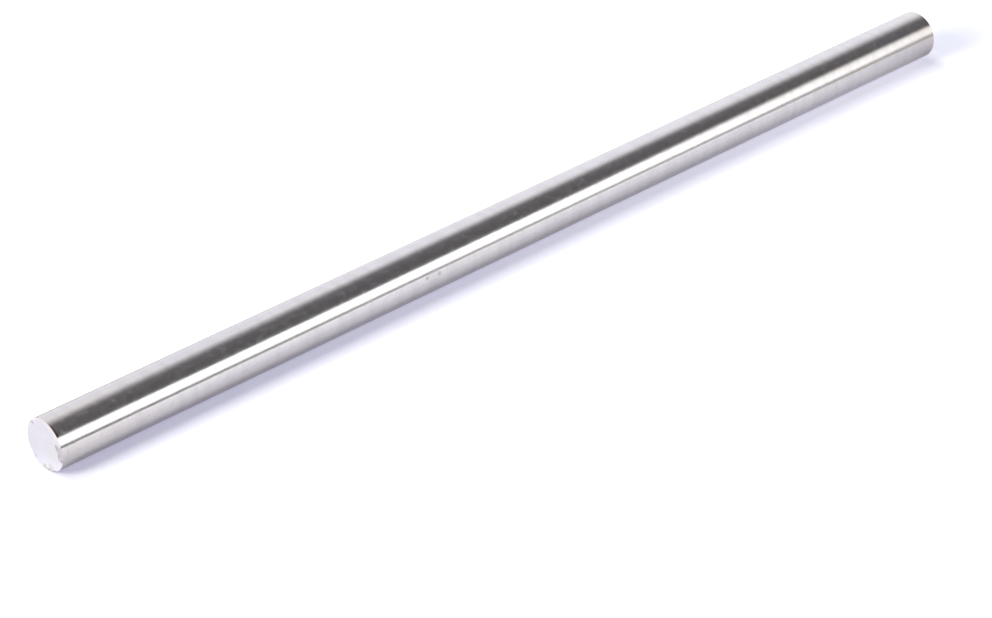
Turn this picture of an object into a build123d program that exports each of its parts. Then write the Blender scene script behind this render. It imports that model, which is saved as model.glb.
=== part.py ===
from build123d import *
from math import cos, radians, sin
import os

# A round metal bar: one solid length of bright ground stock, cut square and bevelled at both ends.
# The bar lies along X. The origin is on the bar's axis, halfway along it, and +Z is up.
# Every size is in millimetres.

# Driving dimensions
bar_diameter = 22.0
bar_length = 500.0
end_bevel = 0.7  # leg of the 45 degree bevel round each end

# Flats that grinding by hand left on the -X end's rim. For each one, how many degrees its middle stands
# below the bar's -Y side, how far its inner edge is from the bar's axis, and how many degrees it leans
# back from the end face.
ground_flats = [
    (2.0, 8.45, 12.0),
    (38.0, 9.7, 25.0),
    (136.0, 9.4, 20.0),
]

# Worked out from them
bar_radius = bar_diameter / 2
half_length = bar_length / 2
end_outward = Vector(-1, 0, 0)


def flat_plane(bearing, offset, tilt):
    """Return the plane of one ground flat, with its normal pointing out of the bar."""
    rim_outward = Vector(0, -cos(radians(bearing)), -sin(radians(bearing)))
    return Plane(
        origin=end_outward * half_length + rim_outward * offset,
        z_dir=end_outward * cos(radians(tilt)) + rim_outward * sin(radians(tilt)),
    )


with BuildPart() as round_bar:
    # The bar itself, a plain round section along its whole length.
    with BuildSketch(Plane.YZ.offset(-half_length)):
        Circle(bar_radius)
    extrude(amount=bar_length)

    # The sharp edge that the saw leaves is taken off both ends.
    end_edges = round_bar.edges().filter_by(GeomType.CIRCLE)
    chamfer(end_edges, length=end_bevel)

    # Each flat widens the -X end's bevel where it stands. The flats lean so little that they stop short
    # of the bar's round skin.
    for bearing, offset, tilt in ground_flats:
        split(bisect_by=flat_plane(bearing, offset, tilt), keep=Keep.BOTTOM)

round_bar.part.label = "round_bar"

os.makedirs("parts", exist_ok=True)
export_step(round_bar.part, "parts/round_bar.step")
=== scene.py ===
"""The looks of a bright ground round bar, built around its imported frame.

The bar lies along X on a white floor, with its middle at the origin and +Z up. Sizes are in metres,
lamps in watts and angles in degrees.
"""

import logging
import math
from collections.abc import Callable, Iterator
from dataclasses import dataclass
from enum import Enum, IntEnum

import bpy
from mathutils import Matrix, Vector


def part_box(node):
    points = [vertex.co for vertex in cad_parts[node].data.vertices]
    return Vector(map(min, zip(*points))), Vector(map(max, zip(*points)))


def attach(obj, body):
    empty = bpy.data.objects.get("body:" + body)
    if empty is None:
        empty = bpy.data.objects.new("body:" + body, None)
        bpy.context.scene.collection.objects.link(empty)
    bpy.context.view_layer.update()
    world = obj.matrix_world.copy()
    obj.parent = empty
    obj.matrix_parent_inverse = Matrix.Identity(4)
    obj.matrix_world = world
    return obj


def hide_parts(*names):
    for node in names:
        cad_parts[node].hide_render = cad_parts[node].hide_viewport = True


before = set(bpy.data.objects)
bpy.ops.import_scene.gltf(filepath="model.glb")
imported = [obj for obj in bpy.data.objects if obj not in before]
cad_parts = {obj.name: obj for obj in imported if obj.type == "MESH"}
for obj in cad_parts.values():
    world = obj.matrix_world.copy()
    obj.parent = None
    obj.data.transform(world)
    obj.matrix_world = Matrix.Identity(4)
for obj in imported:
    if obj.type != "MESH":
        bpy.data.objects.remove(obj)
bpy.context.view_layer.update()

logging.basicConfig(level=logging.INFO, format="%(message)s")
log = logging.getLogger("round_bar")

MM = 0.001
CAD_NODE = "round_bar"

Pair = tuple[float, float]
Triple = tuple[float, float, float]
Corners = tuple[Triple, Triple, Triple, Triple]
BLACK: Triple = (0.0, 0.0, 0.0)
WHITE: Triple = (1.0, 1.0, 1.0)


# -------------------- shader maths


class Axis(IntEnum):
    """The axes, by their order in a place."""

    X = 0
    Y = 1
    Z = 2


class Ray(Enum):
    """The kinds of ray that a stage finish tells apart."""

    CAMERA = "Is Camera Ray"
    GLOSSY = "Is Glossy Ray"
    TRANSMISSION = "Is Transmission Ray"


class Value:
    """A shader socket that takes part in sums as a number does."""

    def __init__(self, graph: "Graph", socket: bpy.types.NodeSocket) -> None:
        """Wrap one output socket of a graph."""
        self.graph = graph
        self.socket = socket

    def __add__(self, other: "float | Value") -> "Value":
        """Return self + other."""
        return self.graph.math("ADD", self, other)

    def __sub__(self, other: "float | Value") -> "Value":
        """Return self - other."""
        return self.graph.math("SUBTRACT", self, other)

    def __rsub__(self, other: "float | Value") -> "Value":
        """Return other - self."""
        return self.graph.math("SUBTRACT", other, self)

    def __mul__(self, other: "float | Value") -> "Value":
        """Return self * other."""
        return self.graph.math("MULTIPLY", self, other)

    __radd__ = __add__
    __rmul__ = __mul__


class Graph:
    """The node tree of one material or of the world, with short ways to add to it."""

    def __init__(self, tree: bpy.types.NodeTree) -> None:
        """Empty the tree and keep it."""
        self.tree = tree
        self.tree.nodes.clear()

    def node(
        self,
        kind: str,
        settings: dict[str, object] | None = None,
        inputs: dict[str | int, object] | None = None,
    ) -> bpy.types.Node:
        """Add one node.

        Args:
            kind: The node's type, without its ShaderNode prefix.
            settings: Its own settings, by name, which are set first.
            inputs: Values or links for its sockets, by name or number.

        Returns:
            The new node.
        """
        made = self.tree.nodes.new(f"ShaderNode{kind}")
        for name, value in (settings or {}).items():
            setattr(made, name, value)
        for name, value in (inputs or {}).items():
            self.feed(made.inputs[name], value)
        return made

    def feed(self, socket: bpy.types.NodeSocket, value: object) -> None:
        """Link a socket to a value that is worked out, or set it to a plain one.

        Args:
            socket: The socket to fill.
            value: A Value, another node's socket, a number or a triple.
        """
        if isinstance(value, Value):
            self.tree.links.new(value.socket, socket)
        elif isinstance(value, bpy.types.NodeSocket):
            self.tree.links.new(value, socket)
        elif socket.type == "RGBA":
            socket.default_value = (*value, 1.0)
        else:
            socket.default_value = value

    def math(self, operation: str, *terms: "float | Value") -> Value:
        """Return one Math node's result."""
        made = self.node("Math", {"operation": operation}, dict(enumerate(terms)))
        return Value(self, made.outputs[0])

    def climb(self, value: "float | Value", low: float, high: float) -> Value:
        """Return a smooth climb from 0, where a value is at low, to 1, where it is at high."""
        made = self.node(
            "MapRange",
            {"interpolation_type": "SMOOTHSTEP"},
            {"Value": value, "From Min": low, "From Max": high},
        )
        return Value(self, made.outputs["Result"])

    def coordinates(self) -> bpy.types.NodeSocket:
        """Return the socket of object coordinates."""
        return self.node("TexCoord").outputs["Object"]

    def place(self) -> tuple[Value, Value, Value]:
        """Return the x, y and z of the surface point."""
        parts = self.node("SeparateXYZ", inputs={0: self.coordinates()})
        return tuple(Value(self, parts.outputs[axis]) for axis in "XYZ")

    def distance(self, point: Triple) -> Value:
        """Return how far the surface point is from another point."""
        made = self.node("VectorMath", {"operation": "DISTANCE"}, {0: self.coordinates(), 1: point})
        return Value(self, made.outputs["Value"])

    def blend(self, share: "float | Value", first: object, second: object) -> bpy.types.NodeSocket:
        """Return a colour that goes from first to second as share goes from 0 to 1."""
        made = self.node("Mix", {"data_type": "RGBA"}, {"Factor": share, 6: first, 7: second})
        return made.outputs[2]

    def bump(self, height: Value, depth: float) -> bpy.types.NodeSocket:
        """Return the normal of a surface whose relief is a height from 0 to 1, over a depth in metres."""
        made = self.node("Bump", inputs={"Height": height, "Distance": depth})
        return made.outputs["Normal"]

    def glow(self, colour: Triple) -> bpy.types.NodeSocket:
        """Return an even glow of one colour."""
        return self.node("Emission", inputs={"Color": colour, "Strength": 1.0}).outputs[0]

    def merge(
        self, share: "float | Value", first: bpy.types.NodeSocket, second: bpy.types.NodeSocket
    ) -> bpy.types.NodeSocket:
        """Return a shader that goes from first to second as share goes from 0 to 1."""
        return self.node("MixShader", inputs={0: share, 1: first, 2: second}).outputs[0]

    def sum(self, first: bpy.types.NodeSocket, second: bpy.types.NodeSocket) -> bpy.types.NodeSocket:
        """Return two shaders laid over each other."""
        return self.node("AddShader", inputs={0: first, 1: second}).outputs[0]

    def ray(self, *kinds: Ray) -> Value:
        """Return 1 for rays of any of the kinds given, and 0 for all others."""
        path = self.node("LightPath")
        found = [Value(self, path.outputs[kind.value]) for kind in kinds]
        total = found[0]
        for value in found[1:]:
            total = self.math("MAXIMUM", total, value)
        return total

    def finish(self, shader: bpy.types.NodeSocket, kind: str = "OutputMaterial") -> None:
        """End the graph in a surface."""
        self.node(kind, inputs={"Surface": shader})


def new_material(name: str) -> tuple[bpy.types.Material, Graph]:
    """Return a new material and its empty graph."""
    material = bpy.data.materials.new(name)
    material.use_nodes = True
    return material, Graph(material.node_tree)


def shade(tone: Triple, share: float) -> Triple:
    """Return a colour made lighter or darker by a share."""
    return tuple(level * share for level in tone)


# -------------------- finishes


@dataclass(frozen=True)
class Grain:
    """Smooth noise through the steel.

    Attributes:
        waves: How many waves there are along x, y and z in one unit of length.
        detail: How many finer layers are laid on it.
        roughness: How strong the finer layers are.
    """

    waves: Triple
    detail: float = 2.0
    roughness: float = 0.5

    def level(self, graph: Graph, unit: float = 1.0) -> Value:
        """Return its level, from 0 to 1.

        Args:
            graph: The graph to work it out in.
            unit: The unit of length.

        Returns:
            The level at the surface point.
        """
        waves = tuple(count / unit for count in self.waves)
        scaled = graph.node("VectorMath", {"operation": "MULTIPLY"}, {0: graph.coordinates(), 1: waves})
        made = graph.node(
            "TexNoise",
            {"normalize": True},
            {"Vector": scaled.outputs[0], "Scale": 1.0, "Detail": self.detail, "Roughness": self.roughness},
        )
        return Value(graph, made.outputs["Fac"])


@dataclass(frozen=True)
class ColourSpot:
    """A small spot of colour on the bar. Some are marks, and some are painted shade.

    Attributes:
        along: Its place along the bar.
        rise: Degrees that it stands above the bar's -Y side.
        out: How far it is from the bar's axis.
        size: Its radius.
        tone: The colour at its middle.
        core: The share of its radius that has all of that colour.
    """

    along: float
    rise: float
    out: float
    size: float
    tone: Triple
    core: float = 0.3

    @property
    def point(self) -> Triple:
        """Its place."""
        turn = math.radians(self.rise)
        return (self.along, -self.out * math.cos(turn), self.out * math.sin(turn))

    def lay_spot(self, graph: "Graph", colour: object) -> bpy.types.NodeSocket:
        """Return a colour with this spot laid on it."""
        near = graph.climb(graph.distance(self.point), self.size, self.size * self.core)
        return graph.blend(near, colour, self.tone)


@dataclass(frozen=True)
class SteelFinish:
    """Bright steel. Each way of working it is a finish of its own, which adds its own marks.

    Attributes:
        name: The material's name.
        tone: The steel's colour.
        roughness: How rough it is at its clearest.
        line_pitch: About how far apart the marks are that the work left.
        line_depth: How deep those marks are.
    """

    name: str
    tone: Triple
    roughness: float
    line_pitch: float
    line_depth: float

    def make(self) -> bpy.types.Material:
        """Return the finished material."""
        material, graph = new_material(self.name)
        shader = graph.node("BsdfPrincipled", inputs={"Metallic": 1.0})
        self.dress(graph, shader)
        graph.finish(shader.outputs["BSDF"])
        return material

    def dress(self, graph: Graph, shader: bpy.types.Node) -> None:
        """Feed the shader its colour, roughness and relief."""
        raise NotImplementedError


@dataclass(frozen=True)
class GroundSkin(SteelFinish):
    """The bar's round skin, ground between wheels, with fine marks that run round it.

    Attributes:
        end: Where the skin stops at the -X end. It stops as far out at the +X end.
        rings: The fine marks, counted in line_pitch.
        ripples: The faint ripples under them.
        ripple_depth: How deep the ripples are.
        clouds: Its faint clouds.
        cloud_shine: How much brighter than the tone the brightest of them is.
        cloud_roughness: How much duller the dullest of them is.
        haze: How much of the steel's shine the dullest of them takes.
        haze_turn: The levels of the clouds over which the haze comes in.
        bands: The broad bands round it.
        band_roughness: How much duller the dullest of them is.
        band_shade: How much darker the darkest of them is.
        band_turn: The levels of the bands over which that comes in.
        colour_spots: The spots on it.
        burn: The colour that hot grinding left beside the -X end.
        burn_reach: How far along the bar the burn goes.
        burn_rise: The heights over which the burn comes in.
        burn_fall: The heights over which it goes again.
        warm: The tone towards the -X end, and how far along the bar it goes.
        warm_far: The tone beside the +X end, and how far along the bar it goes.
    """

    end: float
    rings: Grain = Grain((1.0, 0.02, 0.02), detail=3.0, roughness=0.6)
    ripples: Grain = Grain((250.0, 250.0, 250.0), detail=3.0, roughness=0.6)
    ripple_depth: float = 0.03 * MM
    clouds: Grain = Grain((380.0, 480.0, 480.0), detail=3.0, roughness=0.65)
    cloud_shine: float = 1.13
    cloud_roughness: float = 0.09
    haze: float = 0.12
    haze_turn: Pair = (0.5, 0.75)
    bands: Grain = Grain((180.0, 12.0, 12.0))
    band_roughness: float = 0.05
    band_shade: float = 0.06
    band_turn: Pair = (0.35, 0.65)
    colour_spots: tuple[ColourSpot, ...] = (
        ColourSpot(-67.1 * MM, 11.7, 11.0 * MM, 1.3 * MM, (0.50, 0.49, 0.50), core=0.1),
        ColourSpot(-60.4 * MM, 9.4, 11.0 * MM, 1.5 * MM, (0.53, 0.52, 0.53), core=0.1),
        ColourSpot(0.6 * MM, 68.9, 11.0 * MM, 0.9 * MM, (0.80, 0.66, 0.66)),
        ColourSpot(-248.9 * MM, 45.0, 11.0 * MM, 1.0 * MM, (0.26, 0.22, 0.22)),
        ColourSpot(-246.4 * MM, 49.0, 11.0 * MM, 1.3 * MM, (0.98, 0.97, 0.95)),
    )
    burn: Triple = (0.42, 0.24, 0.23)
    burn_reach: float = 1.2 * MM
    burn_rise: Pair = (7.0 * MM, 7.8 * MM)
    burn_fall: Pair = (10.1 * MM, 10.6 * MM)
    warm: tuple[Triple, float] = ((0.735, 0.705, 0.675), 70.0 * MM)
    warm_far: tuple[Triple, float] = ((0.745, 0.70, 0.67), 20.0 * MM)

    def dress(self, graph: Graph, shader: bpy.types.Node) -> None:
        """Feed the shader fine ring marks, faint clouds, warm ends and a few spots."""
        rings = self.rings.level(graph, self.line_pitch)
        ripples, clouds, bands = (grain.level(graph) for grain in (self.ripples, self.clouds, self.bands))
        along, _, height = graph.place()

        steel = self.tone
        for (tone, reach), end in ((self.warm, self.end), (self.warm_far, -self.end)):
            inward = math.copysign(reach, -end)
            steel = graph.blend(graph.climb(along, end + inward, end), steel, tone)
        steel = graph.blend(clouds, steel, shade(self.tone, self.cloud_shine))
        steel = graph.blend(graph.climb(bands, *self.band_turn) * self.band_shade, steel, BLACK)
        scorch = graph.climb(along, self.end + self.burn_reach, self.end)
        scorch = scorch * graph.climb(height, *self.burn_rise)
        scorch = scorch * (1.0 - graph.climb(height, *self.burn_fall))
        steel = graph.blend(scorch, steel, self.burn)
        for spot in self.colour_spots:
            steel = spot.lay_spot(graph, steel)
        graph.feed(shader.inputs["Base Color"], steel)
        graph.feed(shader.inputs["Metallic"], 1.0 - graph.climb(clouds, *self.haze_turn) * self.haze)
        dullness = bands * self.band_roughness + clouds * self.cloud_roughness
        graph.feed(shader.inputs["Roughness"], dullness + self.roughness)
        relief = rings * self.line_depth + ripples * self.ripple_depth
        graph.feed(shader.inputs["Normal"], graph.bump(relief, 1.0))


@dataclass(frozen=True)
class RubbedFace(SteelFinish):
    """A flat face rubbed on a stone, with straight scratches and cloudy patches.

    Attributes:
        colour_spots: The darker spots on it, which are marks, and in places painted shade.
        scratches: Its scratches, counted in line_pitch.
        scratch_roughness: How much duller the dullest of them is.
        clouds: Its cloudy patches.
        cloud_shine: How much brighter than the tone the brightest of them is.
        dim: The share of each colour that is left where they are dimmest.
    """

    colour_spots: tuple[ColourSpot, ...] = ()
    scratches: Grain = Grain((0.1, 0.06, 1.0), detail=4.0, roughness=0.65)
    scratch_roughness: float = 0.15
    clouds: Grain = Grain((150.0, 150.0, 150.0), detail=3.0)
    cloud_shine: float = 1.06
    dim: Triple = (0.91, 0.90, 0.95)

    def dress(self, graph: Graph, shader: bpy.types.Node) -> None:
        """Feed the shader its scratches and patches."""
        scratches = self.scratches.level(graph, self.line_pitch)
        dim = tuple(level * share for level, share in zip(self.tone, self.dim, strict=True))
        steel = graph.blend(self.clouds.level(graph), dim, shade(self.tone, self.cloud_shine))
        for spot in self.colour_spots:
            steel = spot.lay_spot(graph, steel)
        graph.feed(shader.inputs["Base Color"], steel)
        graph.feed(shader.inputs["Roughness"], scratches * self.scratch_roughness + self.roughness)
        graph.feed(shader.inputs["Normal"], graph.bump(scratches, self.line_depth))


@dataclass(frozen=True)
class BrokenFace(SteelFinish):
    """The inside of a chip: rough torn steel that has dulled and browned, with darker patches that are
    partly painted shade in its hollow.

    Attributes:
        stain_and_shade: The colour of its stains, which is partly painted shade.
        grain: Its coarse grain, counted in line_pitch.
    """

    stain_and_shade: Triple = (0.55, 0.51, 0.51)
    grain: Grain = Grain((1.0, 1.0, 1.0), detail=4.0, roughness=0.7)

    def dress(self, graph: Graph, shader: bpy.types.Node) -> None:
        """Feed the shader a coarse grain and brown stains."""
        grain = self.grain.level(graph, self.line_pitch)
        graph.feed(shader.inputs["Base Color"], graph.blend(grain, self.stain_and_shade, self.tone))
        graph.feed(shader.inputs["Roughness"], self.roughness)
        graph.feed(shader.inputs["Normal"], graph.bump(grain, self.line_depth))


# -------------------- modelling helpers


def start_fresh() -> None:
    """Leave edit mode and deselect every object."""
    if bpy.context.object and bpy.context.object.mode != "OBJECT":
        bpy.ops.object.mode_set(mode="OBJECT")
    bpy.ops.object.select_all(action="DESELECT")


def take(piece: bpy.types.Object) -> None:
    """Make one object the only one selected, and the active one."""
    start_fresh()
    piece.select_set(True)
    bpy.context.view_layer.objects.active = piece


def select_edges(piece: bpy.types.Object, wanted: Callable[[Vector, Vector], bool]) -> None:
    """Leave only the edges selected whose two ends pass a test, in edit mode.

    Args:
        piece: The object to select in.
        wanted: Says of an edge's two end points whether it is wanted.
    """
    bpy.ops.object.mode_set(mode="EDIT")
    bpy.ops.mesh.select_mode(type="EDGE")
    bpy.ops.mesh.select_all(action="DESELECT")
    bpy.ops.object.mode_set(mode="OBJECT")
    points = piece.data.vertices
    for edge in piece.data.edges:
        first, second = (points[index].co for index in edge.vertices)
        edge.select = wanted(first, second)
    bpy.ops.object.mode_set(mode="EDIT")


# -------------------- the bar


# How much of the bar's own direction the normal of an end face has at least, and that of a bevel.
END_LEAN = 0.9
BEVEL_LEAN = 0.3


class Surface(IntEnum):
    """The bar's surfaces, by the order of its material slots."""

    SKIN = 0
    END = 1
    BEVEL = 2
    FLAT = 3
    CHIP = 4

    @classmethod
    def facing(cls, lean: float) -> "Surface":
        """Return the surface of a face whose normal has that much of the bar's own direction in it."""
        if lean > END_LEAN:
            return cls.END
        return cls.BEVEL if lean > BEVEL_LEAN else cls.SKIN


@dataclass(frozen=True)
class Flat:
    """A flat that grinding by hand left on the -X end's rim.

    Attributes:
        bearing: Degrees that its middle stands below the bar's -Y side.
        offset: How far its inner edge is from the bar's axis.
        lean: Degrees that it leans back from the end face.
    """

    bearing: float
    offset: float
    lean: float


@dataclass(frozen=True)
class Chip:
    """A small chip broken out of the -X end's rim.

    Attributes:
        bearing: Degrees that it stands below the bar's -Y side.
        offset: How far its middle is from the bar's axis.
        width: Its width round the rim.
        breadth: Its breadth from the axis outwards.
        depth: Its depth along the bar.
    """

    bearing: float
    offset: float
    width: float
    breadth: float
    depth: float


def rim_direction(bearing: float) -> Vector:
    """Return the direction out from the axis, at some degrees below the bar's -Y side."""
    turn = math.radians(bearing)
    return Vector((0.0, -math.cos(turn), -math.sin(turn)))


@dataclass
class RoundBar:
    """One length of bright round bar, bevelled at both ends, with a rim rubbed and chipped at -X.

    Attributes:
        low: The lowest corner of its box.
        high: The highest corner of its box.
        sides: How many faces stand for its round skin.
        end_bevel: The leg of the 45 degree bevel round each end.
        flats: The hand-ground flats.
        chips: The chips in the rim.
        ring_places: How far from each end an edge ring runs round the skin.
        smooth_angle: The sharpest turn, in degrees, that is shaded as a smooth one.
        lump_detail: How finely the lumps are divided that the chips are the prints of.
        lump_roughness: How rough a chip is, as a share of its size.
        seed: Where the chips' random shapes start.
    """

    low: Vector
    high: Vector
    sides: int = 512
    end_bevel: float = 0.7 * MM
    flats: tuple[Flat, ...] = (
        Flat(2.0, 8.45 * MM, 12.0),
        Flat(38.0, 9.7 * MM, 25.0),
        Flat(136.0, 9.4 * MM, 20.0),
    )
    chips: tuple[Chip, ...] = (
        Chip(-18.0, 9.0 * MM, 3.6 * MM, 1.3 * MM, 0.42 * MM),
        Chip(1.0, 9.8 * MM, 1.7 * MM, 1.9 * MM, 0.55 * MM),
        Chip(13.0, 10.8 * MM, 1.7 * MM, 1.3 * MM, 1.0 * MM),
        Chip(60.0, 10.7 * MM, 1.6 * MM, 1.2 * MM, 1.0 * MM),
        Chip(70.0, 10.5 * MM, 1.3 * MM, 0.9 * MM, 0.6 * MM),
        Chip(80.0, 10.4 * MM, 2.4 * MM, 1.5 * MM, 0.9 * MM),
        Chip(93.0, 10.6 * MM, 1.8 * MM, 1.2 * MM, 1.0 * MM),
        Chip(103.0, 10.6 * MM, 1.4 * MM, 0.9 * MM, 0.7 * MM),
    )
    ring_places: tuple[float, ...] = (2.0 * MM, 5.0 * MM, 25.0 * MM, 100.0 * MM)
    smooth_angle: float = 8.0
    lump_detail: int = 3
    lump_roughness: float = 0.10
    seed: int = 7

    @property
    def radius(self) -> float:
        """Half of the bar's diameter."""
        return (self.high.y - self.low.y) / 2

    @property
    def length(self) -> float:
        """The bar's whole length."""
        return self.high.x - self.low.x

    def build(self) -> bpy.types.Object:
        """Return the bar's finished and dressed mesh."""
        piece = self._stock()
        self._bevel_ends(piece)
        self._give_finishes(piece)
        for flat in self.flats:
            self._grind(piece, flat)
        self._add_rings(piece)
        self._chip_rim(piece)
        take(piece)
        bpy.ops.object.shade_smooth_by_angle(angle=math.radians(self.smooth_angle))
        return piece

    def _stock(self) -> bpy.types.Object:
        """Return a plain round length along X."""
        start_fresh()
        quarter = math.radians(90.0)
        bpy.ops.mesh.primitive_cylinder_add(
            vertices=self.sides, radius=self.radius, depth=self.length, rotation=(0.0, quarter, 0.0)
        )
        piece = bpy.context.object
        piece.name = "bright_bar"
        bpy.ops.object.transform_apply(location=True, rotation=True, scale=True)
        return piece

    def _give_finishes(self, piece: bpy.types.Object) -> None:
        """Fill the material slots, and give the skin, the end faces and the bevels theirs."""
        for finish in self._finishes():
            piece.data.materials.append(finish.make())
        for face in piece.data.polygons:
            face.material_index = Surface.facing(abs(face.normal.x))

    def _finishes(self) -> Iterator[SteelFinish]:
        """Yield the finish of each surface, in the order of Surface."""
        end = self.low.x + self.end_bevel
        place = self.low.x
        # Spots on the bevel and the flats: the broad greyer patch by the first flat is painted shade, which
        # makes that part of the flat as grey as the skin beside it, where the real edge is rounded. The
        # small dark spot sits low at the back of the rim.
        shade_and_mark_spots = (
            ColourSpot(place, 3.0, 10.3 * MM, 3.9 * MM, (0.66, 0.63, 0.66), core=0.7),
            ColourSpot(place, -130.3, 10.6 * MM, 1.3 * MM, (0.52, 0.53, 0.54), core=0.5),
        )
        # Spots on the end face: small marks and pits round the rim, a brownish spot at the bottom of the
        # rim that is partly painted shade where the face meets the floor, and broad darker patches low on
        # its front side.
        face_marks_and_shade = (
            ColourSpot(place, 129.7, 9.7 * MM, 1.3 * MM, (0.66, 0.66, 0.70)),
            ColourSpot(place, -92.0, 9.4 * MM, 1.6 * MM, (0.70, 0.66, 0.61)),
            ColourSpot(place, -66.0, 9.2 * MM, 2.8 * MM, (0.79, 0.76, 0.75), core=0.2),
            ColourSpot(place, -72.0, 9.9 * MM, 1.3 * MM, (0.72, 0.69, 0.66)),
            ColourSpot(place, -129.0, 9.9 * MM, 1.2 * MM, (0.64, 0.65, 0.66), core=0.4),
            ColourSpot(place, 12.0, 8.8 * MM, 1.1 * MM, (0.66, 0.65, 0.68)),
            ColourSpot(place, -8.0, 5.5 * MM, 7.5 * MM, (0.855, 0.86, 0.85), core=0.2),
        )
        yield GroundSkin("ground_skin", (0.72, 0.71, 0.72), 0.11, 0.4 * MM, 0.0004 * MM, end)
        yield RubbedFace("rubbed_end", (0.895, 0.90, 0.915), 0.24, 0.15 * MM, 0.0006 * MM, face_marks_and_shade)
        # The bevel's pale pink tone is partly a painted tint of the pink highlight along it.
        yield RubbedFace("rubbed_bevel", (0.95, 0.90, 0.90), 0.30, 0.2 * MM, 0.001 * MM, shade_and_mark_spots)
        # The flats' lavender white tone is partly a painted tint of the pale lavender that they mirror.
        yield RubbedFace("hand_ground_flat", (0.86, 0.85, 0.93), 0.26, 0.3 * MM, 0.002 * MM, shade_and_mark_spots)
        yield BrokenFace("chipped_steel", (0.80, 0.78, 0.79), 0.55, 0.3 * MM, 0.02 * MM)

    def _bevel_ends(self, piece: bpy.types.Object) -> None:
        """Take the sharp edge off both ends."""
        near_end = self.length / 2 - self.end_bevel
        select_edges(piece, lambda a, b: abs(a.x - b.x) < MM and abs(a.x) > near_end)
        bpy.ops.mesh.bevel(offset=self.end_bevel, offset_type="OFFSET", segments=1, affect="EDGES")
        bpy.ops.object.mode_set(mode="OBJECT")

    def _grind(self, piece: bpy.types.Object, flat: Flat) -> None:
        """Cut one flat and close the cut with a face of its own finish."""
        lean = math.radians(flat.lean)
        out, rim = Vector((-1.0, 0.0, 0.0)), rim_direction(flat.bearing)
        take(piece)
        bpy.ops.object.mode_set(mode="EDIT")
        bpy.ops.mesh.select_all(action="SELECT")
        bpy.ops.mesh.bisect(
            plane_co=out * self.length / 2 + rim * flat.offset,
            plane_no=out * math.cos(lean) + rim * math.sin(lean),
            use_fill=True,
            clear_outer=True,
        )
        bpy.ops.mesh.select_mode(type="FACE")
        piece.active_material_index = Surface.FLAT
        bpy.ops.object.material_slot_assign()
        bpy.ops.object.mode_set(mode="OBJECT")

    def _add_rings(self, piece: bpy.types.Object) -> None:
        """Run edge rings round the skin, so that the chips disturb only its ends."""
        take(piece)
        bpy.ops.object.mode_set(mode="EDIT")
        for place in self.ring_places:
            for side in (-1.0, 1.0):
                bpy.ops.mesh.select_all(action="SELECT")
                bpy.ops.mesh.bisect(
                    plane_co=(side * (self.length / 2 - place), 0.0, 0.0), plane_no=(1.0, 0.0, 0.0)
                )
        bpy.ops.object.mode_set(mode="OBJECT")

    def _chip_rim(self, piece: bpy.types.Object) -> None:
        """Take the chips out of the rim."""
        breaker = self._breaker(piece)
        take(piece)
        cut = piece.modifiers.new("chips", "BOOLEAN")
        cut.operation = "DIFFERENCE"
        cut.solver = "EXACT"
        cut.object = breaker
        bpy.ops.object.modifier_apply(modifier=cut.name)
        bpy.data.objects.remove(breaker)

    def _breaker(self, piece: bpy.types.Object) -> bpy.types.Object:
        """Return one object of rough lumps, one for each chip, in the broken finish."""
        start_fresh()
        bpy.ops.mesh.primitive_ico_sphere_add(subdivisions=self.lump_detail, radius=1.0)
        start = bpy.context.object
        lumps = [self._lump(start, chip, number) for number, chip in enumerate(self.chips)]
        bpy.data.objects.remove(start)
        start_fresh()
        for lump in lumps:
            lump.select_set(True)
        bpy.context.view_layer.objects.active = lumps[0]
        bpy.ops.object.join()
        breaker = bpy.context.object
        for material in piece.data.materials:
            breaker.data.materials.append(material)
        for face in breaker.data.polygons:
            face.material_index = Surface.CHIP
        return breaker

    def _lump(self, start: bpy.types.Object, chip: Chip, number: int) -> bpy.types.Object:
        """Return the rough lump that one chip is the print of.

        Args:
            start: The plain round lump that it is shaped from.
            chip: The chip.
            number: Its number, which makes it unlike the others.

        Returns:
            The lump, with its own mesh.
        """
        take(start)
        bpy.ops.object.duplicate(linked=False)
        lump = bpy.context.object
        bpy.ops.object.mode_set(mode="EDIT")
        bpy.ops.mesh.select_all(action="SELECT")
        bpy.ops.transform.vertex_random(offset=self.lump_roughness, seed=self.seed + number)
        bpy.ops.object.mode_set(mode="OBJECT")
        lump.location = rim_direction(chip.bearing) * chip.offset + Vector((self.low.x, 0.0, 0.0))
        lump.rotation_euler = (math.radians(chip.bearing), 0.0, 0.0)
        lump.scale = (chip.depth, chip.breadth / 2, chip.width / 2)
        bpy.ops.object.transform_apply(location=True, rotation=True, scale=True)
        return lump


# -------------------- studio


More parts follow.
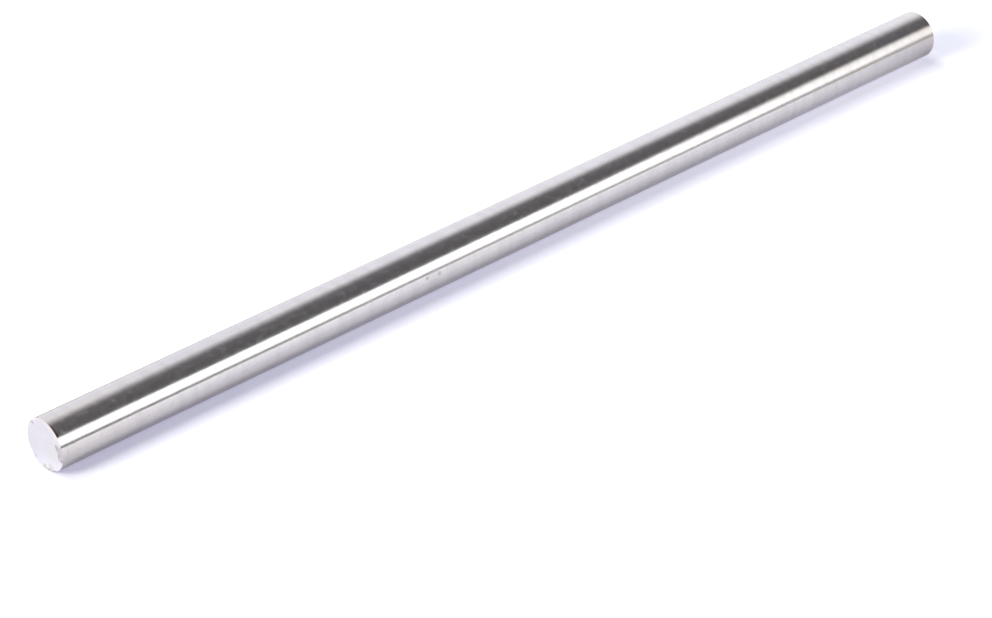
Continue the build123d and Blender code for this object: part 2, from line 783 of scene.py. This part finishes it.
@dataclass(frozen=True)
class MirroredFloorShade:
    """Painted shade on the floor that only the bar's reflection shows: the share of the floor's light that
    the bar mirrors, which is smaller close in front of the bar, towards +X and close behind it.

    Attributes:
        close: The share close in front of the bar, at -X and at +X.
        close_turn: The places along X over which it goes from one to the other.
        open: The share further in front, at -X and from the middle on.
        open_turn: The places along X over which it goes from one to the other.
        climb: The distances from the bar over which the share goes from close to open.
        dim: The places along +X over which it falls off in front, and how much is lost.
        behind: The share behind the bar, at -X and at +X.
        behind_turn: The places along X over which it goes from one to the other.
        behind_close: The part of that share that is left close behind the bar.
        behind_climb: The distances from the bar over which the rest comes in.
        past_end: The share past the -X end, which that end's face mirrors.
        side_blur: How far from the bar's axis the front's share meets the back's.
        end_blur: How far from the -X end the other shares meet the one past it.
    """

    close: Pair = (0.65, 0.78)
    close_turn: Pair = (0.08, 0.26)
    open: Pair = (0.93, 1.08)
    open_turn: Pair = (-0.22, 0.02)
    climb: Pair = (10.0 * MM, 42.0 * MM)
    dim: Triple = (0.15, 0.48, 0.62)
    behind: Pair = (0.53, 0.84)
    behind_turn: Pair = (-0.26, 0.12)
    behind_close: float = 0.86
    behind_climb: Pair = (25.0 * MM, 170.0 * MM)
    past_end: float = 0.92
    side_blur: float = 2.0 * MM
    end_blur: float = 1.0 * MM

    def work_out(
        self, graph: Graph, along: Value, across: Value, away: Value, bar_end: float
    ) -> Value:
        """Return the share at a point of the floor.

        Args:
            graph: The graph to work it out in.
            along: The place along X.
            across: The place along Y.
            away: The distance from the bar.
            bar_end: Half of the bar's length.

        Returns:
            The share, about 1 at most.
        """
        close = self._turn(graph, along, self.close, self.close_turn)
        wide = self._turn(graph, along, self.open, self.open_turn)
        front = close + (wide - close) * graph.climb(away, *self.climb)
        dim_start, dim_stop, dim_loss = self.dim
        front = front * (1.0 - dim_loss * graph.climb(along, dim_start, dim_stop))
        behind = self._turn(graph, along, self.behind, self.behind_turn)
        rest = 1.0 - self.behind_close
        behind = behind * (graph.climb(away, *self.behind_climb) * rest + self.behind_close)
        share = front + (behind - front) * graph.climb(across, -self.side_blur, self.side_blur)
        past = graph.climb(along, self.end_blur - bar_end, -self.end_blur - bar_end)
        return share + (self.past_end - share) * past

    @staticmethod
    def _turn(graph: Graph, along: Value, ends: Pair, places: Pair) -> Value:
        """Return a share that goes from one value to another between two places along X."""
        first, last = ends
        return graph.climb(along, *places) * (last - first) + first


@dataclass
class Floor:
    """The white floor that the bar lies on. It keeps the bar's shadow, whose depth and lavender tint beside
    the bar come from painted light in its glow.

    Attributes:
        height: How high it is.
        bar_end: Half of the bar's length.
        reach: How wide it is.
        white: How much of the light it gives back.
        mirror_white: The same, for rays that the bar mirrors: a warmer white, which is a painted tint of
            the bar's reflection of it.
        glow: What it adds for rays that look at it, beside the -X end and beside the +X end: painted light
            that sets how dark and how lavender the bar's shadow is, lighter towards +X.
        mirror_glow: The same painted light, for rays that the bar mirrors.
        tail_glow: What it adds past the +X end, near and far: painted light that makes the bar's shadow
            there faint.
        tail: How far past that end the shadow goes.
        tail_turn: The places, from that end, over which the tail's glow comes in.
        open_glow: What it adds away from the bar, where the lamps are weak.
        clear: The distances from the bar over which that comes in.
        mirror_clear: The same, for rays that the bar mirrors.
        mirror: The painted shade that the bar mirrors of it: how much of its light the bar's reflection
            shows.
    """

    height: float
    bar_end: float
    reach: float = 40.0
    white: float = 0.8
    mirror_white: Triple = (0.82, 0.80, 0.77)
    glow: tuple[Triple, Triple] = ((0.25, 0.25, 0.36), (0.37, 0.37, 0.47))
    mirror_glow: tuple[Triple, Triple] = ((0.25, 0.24, 0.33), (0.31, 0.30, 0.39))
    tail_glow: tuple[Triple, Triple] = ((0.67, 0.68, 0.79), (0.53, 0.54, 0.65))
    tail: float = 28.0 * MM
    tail_turn: Pair = (-2.0 * MM, 10.0 * MM)
    open_glow: Triple = (0.9, 0.9, 0.9)
    clear: Pair = (13.5 * MM, 32.0 * MM)
    mirror_clear: Pair = (30.0 * MM, 200.0 * MM)
    mirror: MirroredFloorShade = MirroredFloorShade()

    def build(self) -> None:
        """Lay the floor."""
        start_fresh()
        bpy.ops.mesh.primitive_plane_add(size=self.reach)
        floor = bpy.context.object
        floor.name = "floor"
        floor.location.z = self.height
        floor.data.materials.append(self._paint())

    def _paint(self) -> bpy.types.Material:
        """Return a white that also glows for the rays that look at it or mirror it."""
        material, graph = new_material("floor_white")
        along, across, _ = graph.place()
        paint = graph.node("BsdfDiffuse", inputs={"Color": (self.white,) * 3}).outputs[0]
        shader = graph.merge(
            graph.ray(Ray.CAMERA, Ray.TRANSMISSION),
            paint,
            graph.sum(paint, self._seen_glow(graph, along, across)),
        )
        mirrored = self._mirrored(graph, along, across)
        graph.finish(graph.merge(graph.ray(Ray.GLOSSY), shader, mirrored))
        material.cycles.emission_sampling = "NONE"
        return material

    def _away(self, graph: Graph, along: Value, across: Value, tail: float) -> Value:
        """Return the distance from the bar, or from a bar that is longer by a tail at +X."""
        past = graph.math("MAXIMUM", along - (self.bar_end + tail), (0.0 - along) - self.bar_end)
        past = graph.math("MAXIMUM", past, 0.0)
        return graph.math("SQRT", past * past + across * across)

    def _seen_glow(self, graph: Graph, along: Value, across: Value) -> bpy.types.NodeSocket:
        """Return the glow that the camera sees: painted light in the bar's shadow beside it and past the +X
        end, and white away from it.
        """
        glows = [graph.glow(colour) for colour in self.glow]
        beside = graph.merge(graph.climb(along, -self.bar_end, self.bar_end), *glows)
        at_tail = graph.climb(along, *(self.bar_end + place for place in self.tail_turn))
        tails = [graph.glow(colour) for colour in self.tail_glow]
        tail = graph.merge(graph.climb(along, self.bar_end, self.bar_end + self.tail), *tails)
        beside = graph.merge(at_tail, beside, tail)
        away = self._away(graph, along, across, self.tail)
        return graph.merge(graph.climb(away, *self.clear), beside, graph.glow(self.open_glow))

    def _mirrored(self, graph: Graph, along: Value, across: Value) -> bpy.types.NodeSocket:
        """Return what the bar mirrors of the floor, with painted shade close round the bar."""
        glows = [graph.glow(colour) for colour in self.mirror_glow]
        beside = graph.merge(graph.climb(along, -self.bar_end, self.bar_end), *glows)
        away = self._away(graph, along, across, 0.0)
        glow = graph.merge(graph.climb(away, *self.mirror_clear), beside, graph.glow(self.open_glow))
        paint = graph.node("BsdfDiffuse", inputs={"Color": self.mirror_white}).outputs[0]
        share = self.mirror.work_out(graph, along, across, away, self.bar_end)
        return graph.merge(share, graph.glow(BLACK), graph.sum(paint, glow))


@dataclass(frozen=True)
class Fade:
    """How a card's glow changes along one axis.

    Attributes:
        axis: The axis.
        start: Where the change starts.
        end: Where it ends.
        colour: The glow after it.
    """

    axis: Axis
    start: float
    end: float
    colour: Triple


@dataclass(frozen=True)
class Wave:
    """A gentle wave that a card's fade along y follows as x goes by.

    Attributes:
        height: How far it swings.
        length: The length of one whole swing.
        start: The x at which a swing starts.
    """

    height: float
    length: float
    start: float


@dataclass(frozen=True)
class Bend:
    """A change in a card's edge as x goes by.

    Attributes:
        start: The x where it starts.
        end: The x where it stops.
        rise: How much higher the edge is after it.
        blur: How much further the edge then spreads up and down.
    """

    start: float
    end: float
    rise: float
    blur: float = 0.0


@dataclass(frozen=True)
class Edge:
    """A card's upper or lower edge, which bends and blurs as x goes by.

    Attributes:
        height: How high it is at first.
        bends: The changes along it.
    """

    height: float
    bends: tuple[Bend, ...]

    def above(self, graph: Graph, along: Value, height: Value) -> Value:
        """Return 0 below the edge and 1 above it."""
        middle, spread = self.height, MM
        for bend in self.bends:
            change = graph.climb(along, bend.start, bend.end)
            middle = change * bend.rise + middle
            if bend.blur:
                spread = change * change * change * bend.blur + spread
        return graph.climb(height, middle - spread, middle + spread)


def strip(span: Pair, first: Pair, second: Pair) -> Corners:
    """Return the corners of a card between two lines along X, given by their y and z."""
    start, stop = span
    return (start, *first), (stop, *first), (stop, *second), (start, *second)


@dataclass
class Card:
    """A glowing card that only the bar's mirror image shows.

    Attributes:
        name: The card's name.
        corners: Its four corners, in order round it.
        colour: Its glow.
        fades: The changes along it.
        wave: The wave of those changes, if they have one.
        edges: The edges, lower and upper, that it shows between, if it has any of its own.
    """

    name: str
    corners: Corners
    colour: Triple
    fades: tuple[Fade, ...] = ()
    wave: Wave | None = None
    edges: tuple[Edge, Edge] | None = None

    def build(self) -> None:
        """Stand the card up."""
        start_fresh()
        bpy.ops.mesh.primitive_plane_add(size=1.0)
        card = bpy.context.object
        card.name = self.name
        first, second, third, fourth = self.corners
        for vertex, corner in zip(card.data.vertices, (first, second, fourth, third), strict=True):
            vertex.co = corner
        card.data.materials.append(self._paint())
        card.visible_camera = False
        card.visible_diffuse = False
        card.visible_shadow = False

    def _paint(self) -> bpy.types.Material:
        """Return the card's glow."""
        material, graph = new_material(f"{self.name}_glow")
        places = list(graph.place())
        if self.wave:
            turn = (places[Axis.X] - self.wave.start) * (math.tau / self.wave.length)
            places[Axis.Y] = places[Axis.Y] - graph.math("SINE", turn) * self.wave.height
        shader = graph.glow(self.colour)
        for fade in self.fades:
            share = graph.climb(places[fade.axis], fade.start, fade.end)
            shader = graph.merge(share, shader, graph.glow(fade.colour))
        if self.edges:
            lower, upper = (edge.above(graph, places[Axis.X], places[Axis.Z]) for edge in self.edges)
            nothing = graph.node("BsdfTransparent").outputs[0]
            shader = graph.merge(lower * (1.0 - upper), nothing, shader)
        graph.finish(shader)
        material.cycles.emission_sampling = "NONE"
        return material


@dataclass
class Lamp:
    """A round lamp that the bar doesn't mirror.

    Attributes:
        name: The lamp's name.
        place: Where it hangs.
        power: Its power.
        width: Its diameter.
        aim: The point that it faces.
    """

    name: str
    place: Triple
    power: float
    width: float
    aim: Triple = (0.0, 0.0, 0.0)

    def build(self) -> None:
        """Hang the lamp."""
        data = bpy.data.lights.new(self.name, "AREA")
        data.shape = "DISK"
        data.size = self.width
        data.energy = self.power
        lamp = bpy.data.objects.new(self.name, data)
        bpy.context.scene.collection.objects.link(lamp)
        lamp.location = self.place
        away = Vector(self.place) - Vector(self.aim)
        lamp.rotation_euler = away.to_track_quat("Z", "Y").to_euler()
        lamp.visible_glossy = False
        lamp.visible_camera = False


@dataclass
class Studio:
    """A white room with a dark ceiling, a bright window in front of the bar and a pale wall behind it.

    The window, the ceiling and the wall are cards.

    Attributes:
        bar_end: Half of the bar's length.
        radius: Half of the bar's diameter.
        reach: How far the wide cards go along X.
        pale: The wall's glow.
        warm_pale: The glow of the ceiling by the wall, and of the wall's upper part.
        bright_pale: The wall's glow towards +X.
        wall_fades: How the wall's glow changes.
        ceiling_height: How high the ceiling is, and how far behind the bar the wall is.
        ceiling_front: Degrees that its front edge stands above the floor, seen from the bar.
        ceiling_start: The x where it starts.
        ceiling_dark: Its glow in front.
        ceiling_fades: How its glow changes towards the wall.
        ceiling_wave: The wave of those changes.
        window_span: The x where the window starts and stops.
        window_away: How far in front of the bar it is there.
        window_heights: The heights of its card.
        window_edges: The lower and upper edge that it shows between.
        window_glow: Its glow.
        window_fades: How its glow changes.
        screen_span: The x where the screen starts and stops.
        screen_away: How far in front of the bar it is.
        screen_heights: The heights of its lower and upper edge.
        screen_glow: Its glow.
        apron_away: How far in front of the bar the dark strip starts and stops.
        apron_lift: How far its near edge is above the floor.
        apron_top: Degrees that its far edge stands above the floor, seen from the bar.
        apron_dark: Its glow at -X.
        apron_fades: How its glow changes.
        lamps: The lamps, which throw the bar's shadow.
    """

    bar_end: float
    radius: float
    reach: float = 12.0
    pale: Triple = (0.95, 0.93, 1.02)
    warm_pale: Triple = (0.925, 0.90, 0.935)
    bright_pale: Triple = (1.03, 1.02, 1.08)
    wall_fades: tuple[Fade, ...] = (
        Fade(Axis.Z, 0.5, 1.6, warm_pale),
        Fade(Axis.X, 0.8, 2.4, bright_pale),
    )
    ceiling_height: float = 2.0
    ceiling_front: float = 30.0
    ceiling_start: float = -0.6
    ceiling_dark: Triple = (0.120, 0.116, 0.119)
    ceiling_fades: tuple[Fade, ...] = (
        Fade(Axis.Y, -1.2, 0.3, (0.152, 0.146, 0.149)),
        Fade(Axis.Y, 0.12, 1.68, warm_pale),
    )
    ceiling_wave: Wave = Wave(height=0.15, length=1.65, start=0.93)
    window_span: Pair = (0.3, 2.1)
    window_away: Pair = (1.43, 1.17)
    window_heights: Pair = (0.05, 2.2)
    window_edges: tuple[Edge, Edge] = (
        Edge(0.165, (Bend(1.0, 1.55, 0.12, blur=0.24),)),
        Edge(1.19, (Bend(0.75, 0.97, -0.065), Bend(0.98, 1.36, 0.07), Bend(1.30, 1.75, 0.145, blur=0.5))),
    )
    window_glow: Triple = (1.7, 1.7, 1.7)
    window_fades: tuple[Fade, ...] = (Fade(Axis.X, 1.2, 1.62, (1.26, 1.21, 1.17)),)
    screen_span: Pair = (0.9, 8.0)
    screen_away: float = 1.885
    screen_heights: Pair = (0.2, 1.2)
    screen_glow: Triple = (0.66, 0.62, 0.60)
    apron_away: Pair = (0.22, 1.69)
    apron_lift: float = 0.5 * MM
    apron_top: float = 8.4
    apron_dark: Triple = (0.10, 0.10, 0.10)
    apron_fades: tuple[Fade, ...] = (
        Fade(Axis.X, -0.12, 0.32, (0.42, 0.40, 0.40)),
        Fade(Axis.X, 0.6, 1.2, (0.56, 0.53, 0.51)),
    )
    lamps: tuple[Lamp, ...] = (
        Lamp("overhead", (-0.50, 0.12, 0.70), 3.7, 0.66),
        Lamp("window_light", (0.80, -0.70, 0.60), 4.5, 0.20),
        Lamp("end_light", (-1.80, 0.15, 1.05), 24.0, 0.80),
    )

    def build(self) -> None:
        """Build the floor, the cards, the lamps and the world."""
        Floor(-self.radius, self.bar_end).build()
        for part in (*self._cards(), *self.lamps):
            part.build()
        self._world()

    def _cards(self) -> Iterator[Card]:
        """Yield the cards that the bar mirrors."""
        yield self._ceiling()
        yield self._wall()
        yield self._window()
        yield self._screen()
        yield self._apron()

    def _ceiling(self) -> Card:
        """Return the dark ceiling, which turns pale towards the wall along a gently waving line."""
        high = self.ceiling_height
        front = -high / math.tan(math.radians(self.ceiling_front))
        corners = strip((self.ceiling_start, self.reach), (front, high), (high, high))
        return Card("dark_ceiling", corners, self.ceiling_dark, self.ceiling_fades, self.ceiling_wave)

    def _wall(self) -> Card:
        """Return the pale wall behind the bar, which is brighter towards +X."""
        away = self.ceiling_height
        corners = strip((-self.reach, self.reach), (away, -self.radius), (away, away))
        return Card("pale_wall", corners, self.pale, self.wall_fades)

    def _window(self) -> Card:
        """Return the bright window, which stands a little askew, and dims and blurs at its +X end."""
        start, stop = self.window_span
        near, far = self.window_away
        low, high = self.window_heights
        corners = ((start, -near, low), (stop, -far, low), (stop, -far, high), (start, -near, high))
        return Card("window", corners, self.window_glow, self.window_fades, edges=self.window_edges)

    def _screen(self) -> Card:
        """Return the grey screen that shows through the window's blurred lower edge."""
        low, high = self.screen_heights
        corners = strip(self.screen_span, (-self.screen_away, low), (-self.screen_away, high))
        return Card("grey_screen", corners, self.screen_glow)

    def _apron(self) -> Card:
        """Return the dark strip between the floor and the window, which is paler towards +X."""
        near, far = self.apron_away
        low = self.apron_lift - self.radius
        high = far * math.tan(math.radians(self.apron_top))
        corners = strip((-self.reach, self.reach), (-near, low), (-far, high))
        return Card("dark_apron", corners, self.apron_dark, self.apron_fades)

    @staticmethod
    def _world() -> None:
        """Make a world that is white for the rays that look at it, and lights nothing."""
        world = bpy.data.worlds.new("white_room")
        bpy.context.scene.world = world
        world.use_nodes = True
        graph = Graph(world.node_tree)
        unseen, seen = (
            graph.node("Background", inputs={"Color": WHITE, "Strength": strength}).outputs[0]
            for strength in (0.0, 1.0)
        )
        rays = graph.ray(Ray.CAMERA, Ray.GLOSSY, Ray.TRANSMISSION)
        graph.finish(graph.merge(rays, unseen, seen), "OutputWorld")


@dataclass
class Camera:
    """The camera, which looks along the bar from above its -X end.

    Attributes:
        place: Where it stands.
        aim: The point in the middle of its view.
        lens: Its focal length in millimetres.
        sensor: Its sensor's width in millimetres.
        far_clip: How far it sees.
    """

    place: Triple = (-0.7791, -0.8142, 0.6514)
    aim: Triple = (-0.0606, -0.0447, 0.0002)
    lens: float = 112.315
    sensor: float = 36.0
    far_clip: float = 100.0

    def build(self) -> None:
        """Set up the camera and make it the scene's own."""
        data = bpy.data.cameras.new("camera")
        data.lens = self.lens
        data.sensor_width = self.sensor
        data.clip_end = self.far_clip
        camera = bpy.data.objects.new("camera", data)
        bpy.context.scene.collection.objects.link(camera)
        camera.location = self.place
        forward = Vector(self.aim) - Vector(self.place)
        camera.rotation_euler = forward.to_track_quat("-Z", "Y").to_euler()
        bpy.context.scene.camera = camera


def main() -> None:
    """Build the bar and set the studio round it."""
    bpy.context.scene.view_settings.view_transform = "Standard"
    bar = RoundBar(*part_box(CAD_NODE))
    piece = bar.build()
    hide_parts(CAD_NODE)
    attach(piece, "root")
    log.info("%s: %d faces", piece.name, len(piece.data.polygons))
    Studio(bar.high.x, bar.radius).build()
    Camera().build()


if __name__ == "__main__":
    main()
